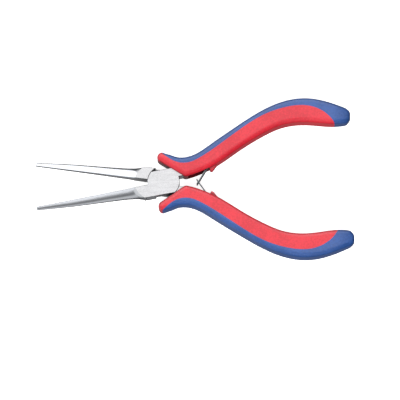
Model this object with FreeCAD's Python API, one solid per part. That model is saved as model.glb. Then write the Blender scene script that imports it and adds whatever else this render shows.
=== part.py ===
import FreeCAD, Part
import math
import os

# Slim long-nose pliers, lying flat and held open by a two-leaf return spring.
# One half (the "top" half, whose lap is uppermost) is drawn closed, with its
# jaw face on the X axis and the pivot at the origin, then swung open.
# The other half is the same shape turned over about the X axis.
# Sizes are in millimetres. X runs from the jaw tips to the handles, Z is up.

Vec = FreeCAD.Vector

# ---- driving sizes ----
OPEN_HALF_ANGLE = 9.2        # each half is swung this far from closed
JOINT_THICK = 7.0            # both laps together, ground flat
LAP_GAP = 0.05               # running gap between the two laps
LAP_RADIUS = 7.6             # round part of each lap
SHOULDER_GAP = 0.12          # gap between a lap and the shoulder round it
EDGE_SIDE = 0.22             # every ground edge of the steel is broken by this much sideways
EDGE_DROP = 0.4              # and by this much down
LAP_RIM_BREAK = 0.18         # the round rim of a lap is broken less, by this much each way
TIP_BEVEL = 0.25             # bevel round the blunt tip
LAP_OUTER_EDGE = 6.2         # flat on the jaw side of the joint
LAP_INNER_EDGE = 5.9         # flat on the handle side of the joint
JAW_FACE_GAP = 0.02          # each gripping face stops this short of the X axis

RIVET_RADIUS = 2.5
RIVET_HEAD_RADIUS = 3.4
RIVET_HEAD_DEPTH = 0.9
RIVET_CLEARANCE = 0.04

GRIP_THICK = 10.5
GRIP_ROUND = 2.1             # rounding round the rim of each grip
GRIP_CORNER_ROUND = 2.4      # rounding of the corners round its end face
GRIP_KINK_ROUND = 2.3
# side view of the grip's tail, which slopes down to the end face: x and how far each side drops
GRIP_TAIL = [(84.0, 0.0), (88.0, 0.35), (92.0, 1.35), (96.0, 3.0)]
TANG_THICK = 4.5
TANG_HALF_WIDTH = 1.6

LEAF_THICK = 0.4
LEAF_WIDTH = 5.0                 # the slotted leaf
TONGUE_WIDTH = 2.2               # the narrow leaf, which passes through the slot
SLOT_LENGTH = 2.3
SLOT_SIDE_GAP = 0.25
SLOT_END = 0.55                  # metal left between the slot and the tip of the leaf
LEAF_OVERRUN = 1.5               # how far each leaf reaches past the crossing
TONGUE_OVERRUN = 1.7
LEAF_TIP_ROUND = 0.6
LEAF_ROOT = Vec(21.9, 3.35, 0)   # bead at the root of a leaf, half drawn closed
LEAF_LENGTH = 8.15               # root to the crossing of the two leaves
BEAD_RADIUS = 0.55
BEAD_CLEARANCE = 0.06
POCKET_HALF_DEPTH = 3.4          # half the depth of the pocket along Z
MOUTH_ANGLES = (184, 250)        # directions between which the leaf can swing at its root
MOUTH_REACH = 3.2

# jaw sections, evenly spaced from the tip: distance from the pivot, width, half thickness
NOSE_SECTIONS = [
    (61.2, 1.8, 0.9),
    (52.6, 2.6, 1.2),
    (44.0, 3.3, 1.45),
    (35.4, 3.8, 1.75),
    (26.8, 4.2, 2.1),
    (18.2, 4.7, 2.5),
    (9.6, 5.4, 3.0),
]
# the nose swells into the joint, faster and faster; the ground flats cut across this swelling
SWELL_FROM = 9.6             # distance from the pivot where the swelling is measured
SWELL_WIDTH = 1.3            # extra width there
SWELL_WIDTH_FADE = 2.9       # extra width falls to a third over this distance
SWELL_HALF = 8.6             # extra half thickness there
SWELL_HALF_FADE = 1.62
SECTION_STEP = 1.72          # spacing of the sections along the jaw

# steel round the pivot that is as thick as the joint: towards the jaws and towards the tang
NECK = [(-10.6, -JAW_FACE_GAP), (-10.6, -5.2), (-9.0, -LAP_OUTER_EDGE), (0, -LAP_OUTER_EDGE),
        (0, -JAW_FACE_GAP)]
SHANK_LOW = 1.1
SHANK = [(0, SHANK_LOW), (10.6, SHANK_LOW), (12.2, 2.4), (12.2, 5.6), (9.5, LAP_INNER_EDGE),
         (0, LAP_INNER_EDGE)]

# outer edge of a grip, from behind the finger guard to the first corner of the end face
GRIP_OUTER = [(5.0, 12.4), (8.2, 10.6), (12.4, 9.7), (17.0, 10.25), (24.5, 13.3), (37.0, 19.0),
              (49.4, 24.2), (58.5, 26.95), (67.2, 27.9), (76.0, 26.7), (84.1, 23.4), (91.6, 19.2)]
GRIP_END = [(93.5, 17.2), (92.9, 13.4)]
# inner edge of a grip, from the last corner of the end face back to the kink near the joint
GRIP_INNER = [(90.7, 11.7), (86.0, 12.15), (81.0, 13.2), (75.0, 14.9), (66.5, 16.45), (59.0, 16.2),
              (50.6, 14.0), (38.3, 9.2), (26.0, 3.75), (20.0, 1.95), (14.0, 0.75), (10.4, 0.45)]
GUARD_CENTRE = (1.45, 11.75)
GUARD_RADIUS = 2.25
GUARD_LEAVE = 52.0           # direction on the guard's rim where the outer edge starts
# line where the soft spine meets the grip body
SPINE_EDGE = [(0.6, 15.0), (3.4, 11.6), (8.2, 7.7), (13.0, 6.6), (19.0, 7.9), (26.8, 11.2), (39.7, 17.5),
              (52.0, 22.5), (63.0, 24.35), (73.0, 23.5), (79.0, 20.6), (83.0, 16.5), (85.4, 11.0)]
# middle of the steel tang inside a grip
TANG_LINE = [(9.0, 3.6), (14.0, 4.1), (20.0, 5.9), (30.0, 10.2), (43.0, 15.9), (55.0, 19.6),
             (64.0, 20.4), (74.0, 18.9)]
# small moulded nub behind the root of the leaf
BOSS = [(22.55, 4.2), (22.75, 1.75), (23.15, 1.3), (24.1, 1.5), (28.2, 5.2), (27.0, 6.0)]
BOSS_HALF_DEPTH = 2.4
BOSS_ROUND = 0.3
# groove in the inner edge of a grip that the leaf folds into
POCKET = [(11.6, -1), (12.3, 1.9), (16.5, 2.75), (19.6, 3.6), (20.9, 3.0), (22.3, 3.1), (22.4, -1)]


def points(pairs):
    return [Vec(x, y, 0) for x, y in pairs]


def spline(pts, start=None, end=None):
    curve = Part.BSplineCurve()
    if start is None:
        curve.interpolate(pts)
    else:
        curve.interpolate(Points=pts, InitialTangent=start, FinalTangent=end)
    return curve.toShape()


def slab(edges, z_low, z_high):
    """Flat outline drawn at Z = 0, given a thickness."""
    face = Part.Face(Part.Wire(edges))
    face.translate(Vec(0, 0, z_low))
    return face.extrude(Vec(0, 0, z_high - z_low))


def polygon_slab(pairs, z_low, z_high):
    pts = points(pairs + pairs[:1])
    return slab(Part.makePolygon(pts).Edges, z_low, z_high)


def upright(x, y, radius, z_low, z_high):
    return Part.makeCylinder(radius, z_high - z_low, Vec(x, y, z_low))


def bar(x_low, x_high, y_low, y_high):
    """Flat bar along X, as thick as the joint, with its four long edges broken."""
    high = JOINT_THICK / 2
    ring = [(y_low, EDGE_DROP - high), (y_low + EDGE_SIDE, -high), (y_high - EDGE_SIDE, -high),
            (y_high, EDGE_DROP - high), (y_high, high - EDGE_DROP), (y_high - EDGE_SIDE, high),
            (y_low + EDGE_SIDE, high), (y_low, high - EDGE_DROP)]
    pts = [Vec(x_low, y, z) for y, z in ring]
    face = Part.Face(Part.makePolygon(pts + pts[:1]))
    return face.extrude(Vec(x_high - x_low, 0, 0))


def half_round(distance, width, half):
    """Section of a jaw: flat gripping face with broken edges, half an ellipse behind it."""
    reach = math.degrees(math.acos(EDGE_SIDE / width))
    ring = []
    for step in range(9):
        turn = math.radians(reach * (step / 4 - 1))
        ring.append(Vec(-distance, -JAW_FACE_GAP - width * math.cos(turn), half * math.sin(turn)))
    face_half = ring[-1].z - EDGE_DROP
    low = Vec(-distance, -JAW_FACE_GAP, -face_half)
    high = Vec(-distance, -JAW_FACE_GAP, face_half)
    return Part.Wire([spline(ring), Part.makeLine(ring[-1], high), Part.makeLine(high, low),
                      Part.makeLine(low, ring[0])])


def between(sections, distance):
    """Width and half thickness of the plain nose at a distance, between the listed sections."""
    for (far, far_width, far_half), (near, near_width, near_half) in zip(sections, sections[1:]):
        if distance >= near - 0.001:
            share = (far - distance) / (far - near)
            return far_width + share * (near_width - far_width), far_half + share * (near_half - far_half)
    return sections[-1][1:]


def jaw():
    """Long tapering nose: flat gripping face, half-round back, swelling into the joint."""
    tip_distance, tip_width, tip_half = NOSE_SECTIONS[0]
    steps = round((tip_distance - SWELL_FROM) / SECTION_STEP)
    wires = []
    for step in range(steps + 1):
        distance = tip_distance + (SWELL_FROM - tip_distance) * step / steps
        width, half = between(NOSE_SECTIONS, distance)
        width += SWELL_WIDTH * math.exp((SWELL_FROM - distance) / SWELL_WIDTH_FADE)
        half += SWELL_HALF * math.exp((SWELL_FROM - distance) / SWELL_HALF_FADE)
        wires.append(half_round(distance, width, half))
    nose = Part.makeLoft(wires, True, False)
    blunt = half_round(tip_distance + TIP_BEVEL, tip_width - TIP_BEVEL, tip_half - TIP_BEVEL)
    tip = Part.makeLoft([half_round(tip_distance, tip_width, tip_half), blunt], True, True)
    return nose.fuse(tip).common(bar(-80, 0, -LAP_OUTER_EDGE, -JAW_FACE_GAP))


def ribbon(pairs, half_width, z_low, z_high):
    """Strip of even width along a smooth middle line, with a rounded far end."""
    curve = Part.BSplineCurve()
    curve.interpolate(points(pairs))
    first, last = curve.FirstParameter, curve.LastParameter
    count = 10
    left, right = [], []
    for step in range(count + 1):
        at = first + (last - first) * step / count
        here = curve.value(at)
        along = curve.tangent(at)[0]
        side = Vec(-along.y, along.x, 0) * half_width
        left.append(here + side)
        right.append(here - side)
    tip = curve.value(last) + curve.tangent(last)[0] * half_width
    edges = [spline(left), Part.Arc(left[-1], tip, right[-1]).toShape(), spline(right),
             Part.makeLine(right[0], left[0])]
    return slab(edges, z_low, z_high)


def lever():
    """Jaw, lap and tang in one forging, for the top half drawn closed."""
    half = JOINT_THICK / 2
    lap_low = LAP_GAP / 2
    neck = polygon_slab(NECK, -half, half).common(bar(-80, 0, -LAP_OUTER_EDGE, -JAW_FACE_GAP))
    rim_low = half - LAP_RIM_BREAK
    lap = upright(0, 0, LAP_RADIUS, lap_low, rim_low)
    rim = Part.makeCone(LAP_RADIUS, LAP_RADIUS - LAP_RIM_BREAK, LAP_RIM_BREAK, Vec(0, 0, rim_low))
    lap = lap.fuse(rim)
    lap = lap.common(bar(-20, 20, -LAP_OUTER_EDGE, LAP_INNER_EDGE))
    shank = polygon_slab(SHANK, -half, half).common(bar(0, 20, SHANK_LOW, LAP_INNER_EDGE))
    tang = ribbon(TANG_LINE, TANG_HALF_WIDTH, -TANG_THICK / 2, TANG_THICK / 2)
    other_lap = upright(0, 0, LAP_RADIUS + SHOULDER_GAP, -half - 1, lap_low)
    body = jaw().fuse([neck, shank, tang]).cut(other_lap)
    body = body.fuse(lap).removeSplitter()
    return body


def grip_outline():
    """Closed outline: guard, outer edge, end face with cut corners, inner edge, front face."""
    centre = Vec(GUARD_CENTRE[0], GUARD_CENTRE[1], 0)

    def rim(angle):
        turn = math.radians(angle)
        return centre + Vec(math.cos(turn), math.sin(turn), 0) * GUARD_RADIUS

    outer = [rim(GUARD_LEAVE)] + points(GRIP_OUTER)
    inner = points(GRIP_INNER)
    kink = inner[-1]
    # the front face runs from the kink and meets the guard at a tangent
    away = kink - centre
    lean = math.degrees(math.atan2(away.y, away.x))
    touch = 360 + lean - math.degrees(math.acos(GUARD_RADIUS / away.Length))
    guard = Part.Arc(rim(touch), rim((touch + GUARD_LEAVE) / 2), rim(GUARD_LEAVE)).toShape()
    leave = math.radians(GUARD_LEAVE)
    start = Vec(math.sin(leave), -math.cos(leave), 0) * 3
    edges = [guard, spline(outer, start, outer[-1] - outer[-2])]
    corners = [outer[-1]] + points(GRIP_END) + [inner[0]]
    for a, b in zip(corners, corners[1:]):
        edges.append(Part.makeLine(a, b))
    return edges + [spline(inner), Part.makeLine(kink, rim(touch))]


def upright_edges(body, corners):
    """The edges along Z of a flat slab that stand on the given corners of its outline."""
    found = []
    for edge in body.Edges:
        middle = edge.BoundBox.Center
        if edge.BoundBox.ZLength > GRIP_THICK - 0.01:
            if any(math.hypot(middle.x - c.x, middle.y - c.y) < 0.05 for c in corners):
                found.append(edge)
    return found


def side_profile():
    """Side view of a grip, flat and then sloping down to its end, as a block across Y."""
    half = GRIP_THICK / 2
    upper = [Vec(x, -40, half - drop) for x, drop in GRIP_TAIL]
    lower = [Vec(x, -40, drop - half) for x, drop in GRIP_TAIL]
    along = Vec(6, 0, 0)
    front_high = Vec(-20, -40, half)
    front_low = Vec(-20, -40, -half)
    edges = [Part.makeLine(front_high, upper[0])]
    edges.append(spline(upper, along, upper[-1] - upper[-2]))
    edges.append(Part.makeLine(upper[-1], lower[-1]))
    edges.append(spline(lower, along, lower[-1] - lower[-2]))
    edges.append(Part.makeLine(lower[0], front_low))
    edges.append(Part.makeLine(front_low, front_high))
    outline = Part.Wire(Part.__sortEdges__(edges))
    return Part.Face(outline).extrude(Vec(0, 80, 0))


def grip_blank():
    """Whole grip before it is split into body and spine."""
    half = GRIP_THICK / 2
    body = slab(grip_outline(), -half, half)
    end_corners = points(GRIP_OUTER[-1:] + GRIP_END + GRIP_INNER[:1])
    body = body.makeFillet(GRIP_CORNER_ROUND, upright_edges(body, end_corners))
    body = body.makeFillet(GRIP_KINK_ROUND, upright_edges(body, points(GRIP_INNER[-1:])))
    body = body.common(side_profile())
    tail_start = GRIP_TAIL[0][0]
    rims = []
    for edge in body.Edges:
        box = edge.BoundBox
        one_side = box.ZMin * box.ZMax > 0
        across = abs(box.XMin - tail_start) < 0.01 and abs(box.XMax - tail_start) < 0.01
        if one_side and not across:
            rims.append(edge)
    body = body.makeFillet(GRIP_ROUND, rims)
    other_lap = upright(0, 0, LAP_RADIUS + SHOULDER_GAP, -GRIP_THICK, LAP_GAP / 2)
    return body.cut(other_lap)


def boss():
    """Small moulded nub behind the root of the leaf."""
    body = polygon_slab(BOSS, -BOSS_HALF_DEPTH, BOSS_HALF_DEPTH)
    front = [e for e in body.Edges if e.BoundBox.Center.y < BOSS[0][1] - 0.1]
    return body.makeFillet(BOSS_ROUND, front)


def leaf_pocket():
    """Groove the leaf folds into, with a round seat for its root bead."""
    deep = POCKET_HALF_DEPTH
    groove = polygon_slab(POCKET, -deep, deep)
    seat_deep = LEAF_WIDTH / 2 + BEAD_CLEARANCE
    seat = upright(LEAF_ROOT.x, LEAF_ROOT.y, BEAD_RADIUS + BEAD_CLEARANCE, -seat_deep, seat_deep)
    mouth = [(LEAF_ROOT.x, LEAF_ROOT.y)]
    for angle in MOUTH_ANGLES:
        turn = math.radians(angle)
        mouth.append((LEAF_ROOT.x + MOUTH_REACH * math.cos(turn), LEAF_ROOT.y + MOUTH_REACH * math.sin(turn)))
    return groove.fuse([seat, polygon_slab(mouth, -deep, deep)])


def spine_region():
    edge = points(SPINE_EDGE)
    far = points([(100, 8), (100, 34), (-4, 34)])
    edges = [spline(edge)]
    corners = [edge[-1]] + far + [edge[0]]
    for a, b in zip(corners, corners[1:]):
        edges.append(Part.makeLine(a, b))
    return slab(edges, -GRIP_THICK, GRIP_THICK)


def leaf(slotted):
    """Flat spring leaf: along +X from its root bead, thickness along Y."""
    width = LEAF_WIDTH if slotted else TONGUE_WIDTH
    reach = LEAF_LENGTH + (LEAF_OVERRUN if slotted else TONGUE_OVERRUN)
    body = Part.makeBox(reach, LEAF_THICK, width, Vec(0, -LEAF_THICK / 2, -width / 2))
    tips = [e for e in body.Edges if e.BoundBox.XMin > reach - 0.01 and e.BoundBox.YLength > 0.1]
    body = body.makeFillet(LEAF_TIP_ROUND, tips)
    bead = upright(0, 0, BEAD_RADIUS, -LEAF_WIDTH / 2, LEAF_WIDTH / 2)
    body = body.fuse(bead).removeSplitter()
    if slotted:
        slot_width = TONGUE_WIDTH + 2 * SLOT_SIDE_GAP
        slot = Part.makeBox(SLOT_LENGTH, 2, slot_width, Vec(0, -1, -slot_width / 2))
        slot.translate(Vec(reach - SLOT_END - SLOT_LENGTH, 0, 0))
        body = body.cut(slot)
    return body


def rivet():
    """Round pin with a countersunk head at each end, ground flush."""
    half = JOINT_THICK / 2
    shank = upright(0, 0, RIVET_RADIUS, -half, half)
    top = Part.makeCone(RIVET_RADIUS, RIVET_HEAD_RADIUS, RIVET_HEAD_DEPTH, Vec(0, 0, half - RIVET_HEAD_DEPTH))
    low = Part.makeCone(RIVET_HEAD_RADIUS, RIVET_RADIUS, RIVET_HEAD_DEPTH, Vec(0, 0, -half))
    return shank.fuse([top, low]).removeSplitter()


def rivet_hole(clearance):
    half = JOINT_THICK / 2
    shank = upright(0, 0, RIVET_RADIUS + clearance, -half - 1, half + 1)
    cone = Part.makeCone(RIVET_RADIUS + clearance, RIVET_HEAD_RADIUS + clearance, RIVET_HEAD_DEPTH,
                         Vec(0, 0, half - RIVET_HEAD_DEPTH))
    return shank.fuse(cone)


def opened(shape):
    """Swing a piece of the top half from closed to the resting pose."""
    out = shape.copy()
    out.rotate(Vec(0, 0, 0), Vec(0, 0, 1), OPEN_HALF_ANGLE)
    return out


def turned_over(shape):
    """Turn a piece of the top half into its partner in the bottom half."""
    out = shape.copy()
    out.rotate(Vec(0, 0, 0), Vec(1, 0, 0), 180)
    return out


def placed_leaf(slotted):
    """Leaf in the resting pose of the top half: from its root to the middle line."""
    body = leaf(slotted)
    turn = math.radians(OPEN_HALF_ANGLE)
    root_x = LEAF_ROOT.x * math.cos(turn) - LEAF_ROOT.y * math.sin(turn)
    root_y = LEAF_ROOT.x * math.sin(turn) + LEAF_ROOT.y * math.cos(turn)
    drop = math.degrees(math.asin(root_y / LEAF_LENGTH))
    body.rotate(Vec(0, 0, 0), Vec(0, 0, 1), 180 + drop)
    body.translate(Vec(root_x, root_y, 0))
    return body


def save(name, shape):
    """Lift a piece so that the joint's underside is at Z = 0, and write it."""
    out = shape.Solids[0]
    out.translate(Vec(0, 0, JOINT_THICK / 2))
    out.exportStep(os.path.join("parts", name + ".step"))
    box = out.optimalBoundingBox(True, False)
    print(name, len(shape.Solids), round(out.Volume, 2), out.isValid(),
          [round(v, 2) for v in (box.XMin, box.YMin, box.ZMin, box.XMax, box.YMax, box.ZMax)])


def main():
    os.makedirs("parts", exist_ok=True)
    steel = lever()
    blank = grip_blank()
    spine_part = spine_region()
    core = blank.cut(spine_part).fuse(boss()).cut(leaf_pocket()).cut(steel)
    spine = blank.common(spine_part).cut(steel)
    top_steel = opened(steel.cut(rivet_hole(0.0)))
    bottom_steel = turned_over(opened(steel.cut(rivet_hole(RIVET_CLEARANCE))))
    save("top_lever", top_steel)
    save("bottom_lever", bottom_steel)
    save("pivot_rivet", rivet())
    save("top_grip_body", opened(core))
    save("bottom_grip_body", turned_over(opened(core)))
    save("top_grip_spine", opened(spine))
    save("bottom_grip_spine", turned_over(opened(spine)))
    save("top_spring_leaf", placed_leaf(True))
    save("bottom_spring_leaf", turned_over(placed_leaf(False)))


main()
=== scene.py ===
import bpy
import math
from mathutils import Matrix, Vector


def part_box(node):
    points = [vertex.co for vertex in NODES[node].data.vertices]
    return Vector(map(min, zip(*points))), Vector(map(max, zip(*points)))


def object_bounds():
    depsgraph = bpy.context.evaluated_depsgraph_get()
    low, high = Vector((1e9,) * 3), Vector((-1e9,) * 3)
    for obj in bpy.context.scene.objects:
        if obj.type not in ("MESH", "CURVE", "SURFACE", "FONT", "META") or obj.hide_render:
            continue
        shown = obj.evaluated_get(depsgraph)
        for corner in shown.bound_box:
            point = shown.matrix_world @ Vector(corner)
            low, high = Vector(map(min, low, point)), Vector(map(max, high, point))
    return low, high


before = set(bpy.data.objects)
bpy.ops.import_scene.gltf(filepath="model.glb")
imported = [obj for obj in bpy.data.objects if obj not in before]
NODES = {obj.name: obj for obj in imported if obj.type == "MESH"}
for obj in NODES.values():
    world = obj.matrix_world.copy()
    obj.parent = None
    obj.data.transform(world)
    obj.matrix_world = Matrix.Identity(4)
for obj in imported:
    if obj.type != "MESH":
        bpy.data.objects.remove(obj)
CAD_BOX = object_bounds()
RIVET_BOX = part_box("pivot_rivet")
PIVOT = (Vector(RIVET_BOX[0]) + Vector(RIVET_BOX[1])) / 2      # middle of the joint

# ---------- camera: nearly straight above, a little from the front ----------
ELEVATION = math.radians(77.5)
ROLL = math.radians(1.6)           # the tool lies turned a little in the picture
VIEW_WIDTH = 0.1899                # width of the picture at the tool, in metres
CAMERA_DISTANCE = 2.4
AIM_RIGHT = 0.01728                # from the pivot to the picture's middle
AIM_UP = -0.00802
SENSOR_WIDTH = 36.0                # in millimetres, as Blender has it
CLIP_START = 0.01


def make_camera():
    level = Vector((1, 0, 0))
    lift = Vector((0, math.sin(ELEVATION), math.cos(ELEVATION)))
    back = Vector((0, -math.cos(ELEVATION), math.sin(ELEVATION)))
    right = level * math.cos(ROLL) - lift * math.sin(ROLL)
    up = level * math.sin(ROLL) + lift * math.cos(ROLL)
    data = bpy.data.cameras.new("camera")
    data.sensor_width = SENSOR_WIDTH
    data.lens = SENSOR_WIDTH * CAMERA_DISTANCE / VIEW_WIDTH
    data.clip_start = CLIP_START
    camera = bpy.data.objects.new("camera", data)
    bpy.context.scene.collection.objects.link(camera)
    turn = Matrix((right, up, back)).transposed()
    place = PIVOT + right * AIM_RIGHT + up * AIM_UP + back * CAMERA_DISTANCE
    camera.matrix_world = Matrix.Translation(place) @ turn.to_4x4()
    bpy.context.scene.camera = camera


# ---------- node helpers ----------
# Each one adds a node and gives back its output, which the next one takes as its source.
MIX_FIRST, MIX_SECOND, MIX_RESULT = 6, 7, 2      # the Mix node's sockets for colours
NOISE_SPAN = (0.3, 0.7)                          # where most of a noise lies
MIXED_SPAN = (0.42, 0.58)                        # and most of an even mix of two


def new_material(name):
    mat = bpy.data.materials.new(name)
    mat.use_nodes = True
    tree = mat.node_tree
    shader = tree.nodes["Principled BSDF"]
    return mat, tree, shader


def add(tree, kind, **values):
    node = tree.nodes.new(kind)
    for name, value in values.items():
        if name in node.inputs:
            node.inputs[name].default_value = value
        else:
            setattr(node, name, value)
    return node


def feed(tree, value, socket):
    """Link a socket to an output, or set it to a plain number or colour."""
    if isinstance(value, bpy.types.NodeSocket):
        tree.links.new(value, socket)
    elif isinstance(value, tuple):
        socket.default_value = (*value, 1)
    else:
        socket.default_value = value


def coordinates(tree, kind="Object"):
    return add(tree, "ShaderNodeTexCoord").outputs[kind]


def noise(tree, place, scale, detail=2.0, stretch=(1.0, 1.0, 1.0)):
    """Cloudy noise, with scale blobs to the metre, times stretch along each axis."""
    mapping = add(tree, "ShaderNodeMapping", Scale=stretch)
    tree.links.new(place, mapping.inputs["Vector"])
    cloud = add(tree, "ShaderNodeTexNoise", Scale=scale, Detail=detail)
    tree.links.new(mapping.outputs["Vector"], cloud.inputs["Vector"])
    return cloud.outputs["Fac"]


def ramped(tree, source, stops):
    """Colour ramp over a source between 0 and 1; stops are (position, (r, g, b))."""
    ramp = add(tree, "ShaderNodeValToRGB")
    marks = ramp.color_ramp.elements
    while len(marks) < len(stops):
        marks.new(0.5)
    for mark, (position, tint) in zip(marks, stops):
        mark.position = position
        mark.color = (*tint, 1)
    tree.links.new(source, ramp.inputs["Fac"])
    return ramp.outputs["Color"]


def toned(tree, source, tones, span):
    """Drift from a darker tone to a lighter one, as the source crosses the span."""
    return ramped(tree, source, list(zip(span, tones)))


def ranged(tree, source, low, high, from_low=0.0, from_high=1.0):
    """Source mapped from one range of numbers to another, and held at its ends."""
    node = add(tree, "ShaderNodeMapRange")
    node.inputs["From Min"].default_value = from_low
    node.inputs["From Max"].default_value = from_high
    feed(tree, low, node.inputs["To Min"])
    feed(tree, high, node.inputs["To Max"])
    tree.links.new(source, node.inputs["Value"])
    return node.outputs["Result"]


def mixed(tree, factor, first, second, blend="MIX"):
    """First colour where the factor is 0, second where it is 1."""
    node = add(tree, "ShaderNodeMix", data_type="RGBA", blend_type=blend)
    feed(tree, factor, node.inputs["Factor"])
    feed(tree, first, node.inputs[MIX_FIRST])
    feed(tree, second, node.inputs[MIX_SECOND])
    return node.outputs[MIX_RESULT]


def with_painted_shade(tree, tone, shade_tone, reach, samples, open_share):
    """Tone that turns into the shade tone in recesses: painted shade, darker where near walls
    close the surface in.

    reach is how near a wall must be to count, in metres. open_share holds how open the surface
    is where the painted shade is full, and where there is none.
    """
    recess = add(tree, "ShaderNodeAmbientOcclusion", Distance=reach, samples=samples)
    unshaded = ranged(tree, recess.outputs["AO"], 0.0, 1.0, *open_share)
    return mixed(tree, unshaded, shade_tone, tone)


def bumped(tree, shader, height, strength, distance):
    node = add(tree, "ShaderNodeBump", Distance=distance)
    feed(tree, strength, node.inputs["Strength"])
    tree.links.new(height, node.inputs["Height"])
    tree.links.new(node.outputs["Normal"], shader.inputs["Normal"])


# ---------- moulded grip plastic ----------
GRIP_BLOBS = (90.0, 1300.0, 2100.0)      # tone drift, specks and grain, to the metre
GRIP_ROUGHNESS = 0.38
GRIP_ROUGHNESS_DRIFT = 0.05              # more or less than that, by the specks
GRIP_SPECK_SPAN = (0.35, 0.65)
GRIP_GRAIN_STRENGTH = 0.35
GRIP_GRAIN_DEPTH = 0.00006
GRIP_SPECULAR = 0.75
# Painted shade on the grips: how near walls must be, and how open the surface, for the colour to
# darken in recesses.
GRIP_PAINTED_SHADE = {"reach": 0.008, "samples": 8, "open_share": (0.45, 0.92)}

# The second colour of each is painted shade, which the grip turns to in its recesses.
RED = {"tones": ((0.565, 0.013, 0.028), (0.695, 0.022, 0.040)), "shade_tone": (0.09, 0.003, 0.006)}
BLUE = {"tones": ((0.016, 0.063, 0.228), (0.025, 0.085, 0.302)), "shade_tone": (0.003, 0.008, 0.03)}


def moulded(name, tones, shade_tone):
    """Grip plastic: slight tone drift, fine eroded texture, and painted shade darkening it in its
    recesses.
    """
    mat, tree, shader = new_material(name)
    link = tree.links.new
    place = coordinates(tree)
    drift_blobs, speck_blobs, grain_blobs = GRIP_BLOBS
    drift = noise(tree, place, drift_blobs, detail=4.0)
    speck = noise(tree, place, speck_blobs)
    grain = noise(tree, place, grain_blobs)
    tone = toned(tree, mixed(tree, 0.5, drift, speck), tones, MIXED_SPAN)
    # Painted shade: the grip's colour darkens where near walls close it in, as in its pocket and
    # down its walls.
    link(with_painted_shade(tree, tone, shade_tone, **GRIP_PAINTED_SHADE), shader.inputs["Base Color"])
    rough = ranged(tree, speck, GRIP_ROUGHNESS - GRIP_ROUGHNESS_DRIFT,
                   GRIP_ROUGHNESS + GRIP_ROUGHNESS_DRIFT, *GRIP_SPECK_SPAN)
    link(rough, shader.inputs["Roughness"])
    bumped(tree, shader, grain, GRIP_GRAIN_STRENGTH, GRIP_GRAIN_DEPTH)
    shader.inputs["Specular IOR Level"].default_value = GRIP_SPECULAR
    return mat


# ---------- tool steel ----------
STEEL_BLOBS = (140.0, 2400.0)            # tone drift and grit, to the metre
GRINDING_LINES = (150.0, 5200.0, 5200.0)     # to the metre along X, Y and Z, so they run along X
GROUND_FACES = (0.9990, 0.9999)          # a normal's Z where the ground finish starts, and is full
POLISHED_TONES = ((0.555, 0.575, 0.60), (0.605, 0.625, 0.65))
SATIN_TONES = ((0.50, 0.50, 0.502), (0.63, 0.63, 0.632))
POLISHED_ROUGHNESS = (0.11, 0.17)
SATIN_ROUGHNESS = 0.46
POLISHED_GRIT, SATIN_GRIT = 0.015, 0.10      # strength of the bump
GRIT_DEPTH = 0.00003
# Painted shade with some oily dirt: the near-black the steel turns to in its creases and beside
# near parts.
CREASE_SHADE_AND_DIRT = (0.05, 0.05, 0.055)
STEEL_CREASE_SHADE_AND_DIRT = {"reach": 0.005, "samples": 16, "open_share": (0.25, 0.85)}


def ground_mask(tree):
    """1 on faces that point straight up or down, 0 on all others."""
    shape = add(tree, "ShaderNodeNewGeometry")
    split = add(tree, "ShaderNodeSeparateXYZ")
    tree.links.new(shape.outputs["True Normal"], split.inputs["Vector"])
    upright = add(tree, "ShaderNodeMath", operation="ABSOLUTE")
    tree.links.new(split.outputs["Z"], upright.inputs[0])
    return ranged(tree, upright.outputs[0], 0.0, 1.0, *GROUND_FACES)


def steel(name):
    """Tool steel: polished jaws, a fine ground finish on the flat faces of the joint, and painted
    shade with some oily dirt in its creases.
    """
    mat, tree, shader = new_material(name)
    link = tree.links.new
    shader.inputs["Metallic"].default_value = 1.0
    place = coordinates(tree)
    ground = ground_mask(tree)
    drift_blobs, grit_blobs = STEEL_BLOBS
    drift = noise(tree, place, drift_blobs, detail=4.0)
    speck = noise(tree, place, grit_blobs)
    lines = noise(tree, place, 1.0, stretch=GRINDING_LINES)
    grit = mixed(tree, 0.5, speck, lines)
    polished = toned(tree, drift, POLISHED_TONES, NOISE_SPAN)
    satin = toned(tree, grit, SATIN_TONES, MIXED_SPAN)
    tone = mixed(tree, ground, polished, satin)
    # Painted shade with some oily dirt: the steel darkens in creases and where other parts are
    # near.
    link(with_painted_shade(tree, tone, CREASE_SHADE_AND_DIRT, **STEEL_CREASE_SHADE_AND_DIRT), shader.inputs["Base Color"])
    smooth = ranged(tree, drift, *POLISHED_ROUGHNESS, *NOISE_SPAN)
    link(ranged(tree, ground, smooth, SATIN_ROUGHNESS), shader.inputs["Roughness"])
    bumped(tree, shader, grit, ranged(tree, ground, POLISHED_GRIT, SATIN_GRIT), GRIT_DEPTH)
    return mat


# ---------- spring strip ----------
STRIP_BLOBS = 700.0                      # tone drift, to the metre
ROLLING_LINES = (900.0, 900.0, 9000.0)   # to the metre along X, Y and Z, so along the strip
STRIP_TONES = ((0.085, 0.10, 0.105), (0.20, 0.22, 0.225))
STRIP_ROUGHNESS = (0.25, 0.4)
ROLLING_STRENGTH = 0.08
ROLLING_DEPTH = 0.00003


def spring_steel(name):
    """Dark heat-treated spring strip with faint rolling lines."""
    mat, tree, shader = new_material(name)
    link = tree.links.new
    shader.inputs["Metallic"].default_value = 1.0
    place = coordinates(tree)
    drift = noise(tree, place, STRIP_BLOBS, detail=4.0)
    lines = noise(tree, place, 1.0, stretch=ROLLING_LINES)
    link(toned(tree, drift, STRIP_TONES, NOISE_SPAN), shader.inputs["Base Color"])
    link(ranged(tree, drift, *STRIP_ROUGHNESS, *NOISE_SPAN), shader.inputs["Roughness"])
    bumped(tree, shader, lines, ROLLING_STRENGTH, ROLLING_DEPTH)
    return mat


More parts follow.
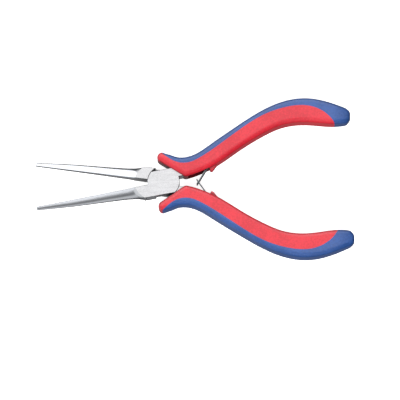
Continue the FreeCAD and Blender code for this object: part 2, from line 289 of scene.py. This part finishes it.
# ---------- floor ----------
FLOOR_SIZE = 4.0
FLOOR_GAP = 0.0002                 # between the floor and the tool's lowest point
FLOOR_TONES = ((0.90, 0.90, 0.90), (0.93, 0.93, 0.93))
FLOOR_BLOBS = 3.0
FLOOR_ROUGHNESS = 0.9
FLOOR_SPECULAR = 0.1
FLOOR_GLOW = 0.92                  # the floor is a light table, so shadows stay faint


def make_floor():
    low = CAD_BOX[0][2]
    bpy.ops.mesh.primitive_plane_add(size=FLOOR_SIZE, location=(0, 0, low - FLOOR_GAP))
    floor = bpy.context.object
    floor.name = "floor"
    mat, tree, shader = new_material("floor_paper")
    cloud = noise(tree, coordinates(tree), FLOOR_BLOBS)
    tree.links.new(toned(tree, cloud, FLOOR_TONES, (0.0, 1.0)), shader.inputs["Base Color"])
    shader.inputs["Roughness"].default_value = FLOOR_ROUGHNESS
    shader.inputs["Specular IOR Level"].default_value = FLOOR_SPECULAR
    shader.inputs["Emission Color"].default_value = (1, 1, 1, 1)
    shader.inputs["Emission Strength"].default_value = FLOOR_GLOW
    floor.data.materials.append(mat)
    floor.visible_glossy = False       # the tool's sides mirror the studio, not the bright paper
    floor.visible_diffuse = False      # and the paper's glow doesn't light the tool
    floor.visible_shadow = False       # and doesn't count as a recess for the tool's painted shade underneath


# ---------- studio ----------
# Brightness of the studio round the tool, by how far a direction leans from straight up.
# Leans are in degrees: negative towards the back, positive towards the camera's side.
STUDIO = [
    (-180, 0.12),
    (-160, 0.12),
    (-140, 0.08),
    (-84, 0.08),
    (-70, 1.0),
    (-14, 1.0),
    (2, 0.66),
    (14, 0.30),
    (26, 0.15),
    (36, 0.15),
    (58, 0.40),
    (84, 0.38),
    (104, 0.12),
    (140, 0.06),
    (160, 0.12),
    (180, 0.12),
]
STUDIO_BLUE = 1.02                 # blue in its white, as a share of the red and green
STUDIO_STRENGTH = 2.0
# The studio changes towards its two ends, over these stretches of a direction's X.
JAWS_END = (-0.55, -0.28)
JAWS_END_PANEL = 0.5               # a dimmer white panel stands at the jaws' end
HANDLES_END = (0.25, 0.6)
HANDLES_END_SHADE = 0.12           # the handles' end is dark, at this share of the table's level


def make_world():
    """Big soft light overhead and behind, a dark room on the camera's side."""
    world = bpy.data.worlds.new("studio")
    bpy.context.scene.world = world
    world.use_nodes = True
    tree = world.node_tree
    link = tree.links.new
    shade = tree.nodes["Background"]
    split = add(tree, "ShaderNodeSeparateXYZ")
    link(coordinates(tree, "Generated"), split.inputs["Vector"])
    front = add(tree, "ShaderNodeMath", operation="MULTIPLY")
    front.inputs[1].default_value = -1.0
    link(split.outputs["Y"], front.inputs[0])
    lean = add(tree, "ShaderNodeMath", operation="ARCTAN2")
    link(front.outputs[0], lean.inputs[0])
    link(split.outputs["Z"], lean.inputs[1])
    share = ranged(tree, lean.outputs[0], 0.0, 1.0, -math.pi, math.pi)
    stops = [((angle + 180) / 360, (level, level, level * STUDIO_BLUE)) for angle, level in STUDIO]
    panel = ranged(tree, split.outputs["X"], JAWS_END_PANEL, 0.0, *JAWS_END)
    room = mixed(tree, 1.0, ramped(tree, share, stops), panel, "LIGHTEN")
    dimming = ranged(tree, split.outputs["X"], 1.0, HANDLES_END_SHADE, *HANDLES_END)
    link(mixed(tree, 1.0, room, dimming, "MULTIPLY"), shade.inputs["Color"])
    shade.inputs["Strength"].default_value = STUDIO_STRENGTH
    world.cycles_visibility.diffuse = False      # the lamps light the colours instead


# ---------- lamps ----------
# Soft lamps that light the colours but aren't mirrored in the steel: lean from straight up and
# turn about Z (0 is the camera's side) in degrees, size in metres and power in watts.
LAMPS = [
    {"lean": 41, "turn": 0, "size": 0.6, "power": 11.6},
    {"lean": -58, "turn": 0, "size": 0.8, "power": 7.0},
    {"lean": 60, "turn": 90, "size": 0.8, "power": 0.8},
    {"lean": 60, "turn": -90, "size": 0.8, "power": 0.8},
]
LAMP_DISTANCE = 1.0


def make_lamp(name, lean, turn, size, power):
    data = bpy.data.lights.new(name, "AREA")
    data.size = size
    data.energy = power
    lamp = bpy.data.objects.new(name, data)
    lean = math.radians(lean)
    leaning = Vector((0, -math.sin(lean), math.cos(lean)))
    away = Matrix.Rotation(math.radians(turn), 3, "Z") @ leaning
    lamp.location = PIVOT + away * LAMP_DISTANCE
    lamp.rotation_euler = away.to_track_quat("Z", "Y").to_euler()
    lamp.visible_glossy = False
    bpy.context.scene.collection.objects.link(lamp)


# ---------- the scene ----------
def set_all_slots(node_name, mat):
    for slot in NODES[node_name].material_slots:
        slot.material = mat


make_camera()
make_world()
for number, lamp in enumerate(LAMPS):
    make_lamp("lamp_%d" % number, **lamp)
make_floor()

tool_steel = steel("tool_steel_finish")
spring_strip = spring_steel("spring_steel_finish")
red = moulded("red_grip_finish", **RED)
blue = moulded("blue_grip_finish", **BLUE)
set_all_slots("pivot_rivet", tool_steel)
for side in ("top", "bottom"):
    set_all_slots(side + "_lever", tool_steel)
    set_all_slots(side + "_grip_body", red)
    set_all_slots(side + "_grip_spine", blue)
    set_all_slots(side + "_spring_leaf", spring_strip)

bpy.context.scene.view_settings.view_transform = "Standard"
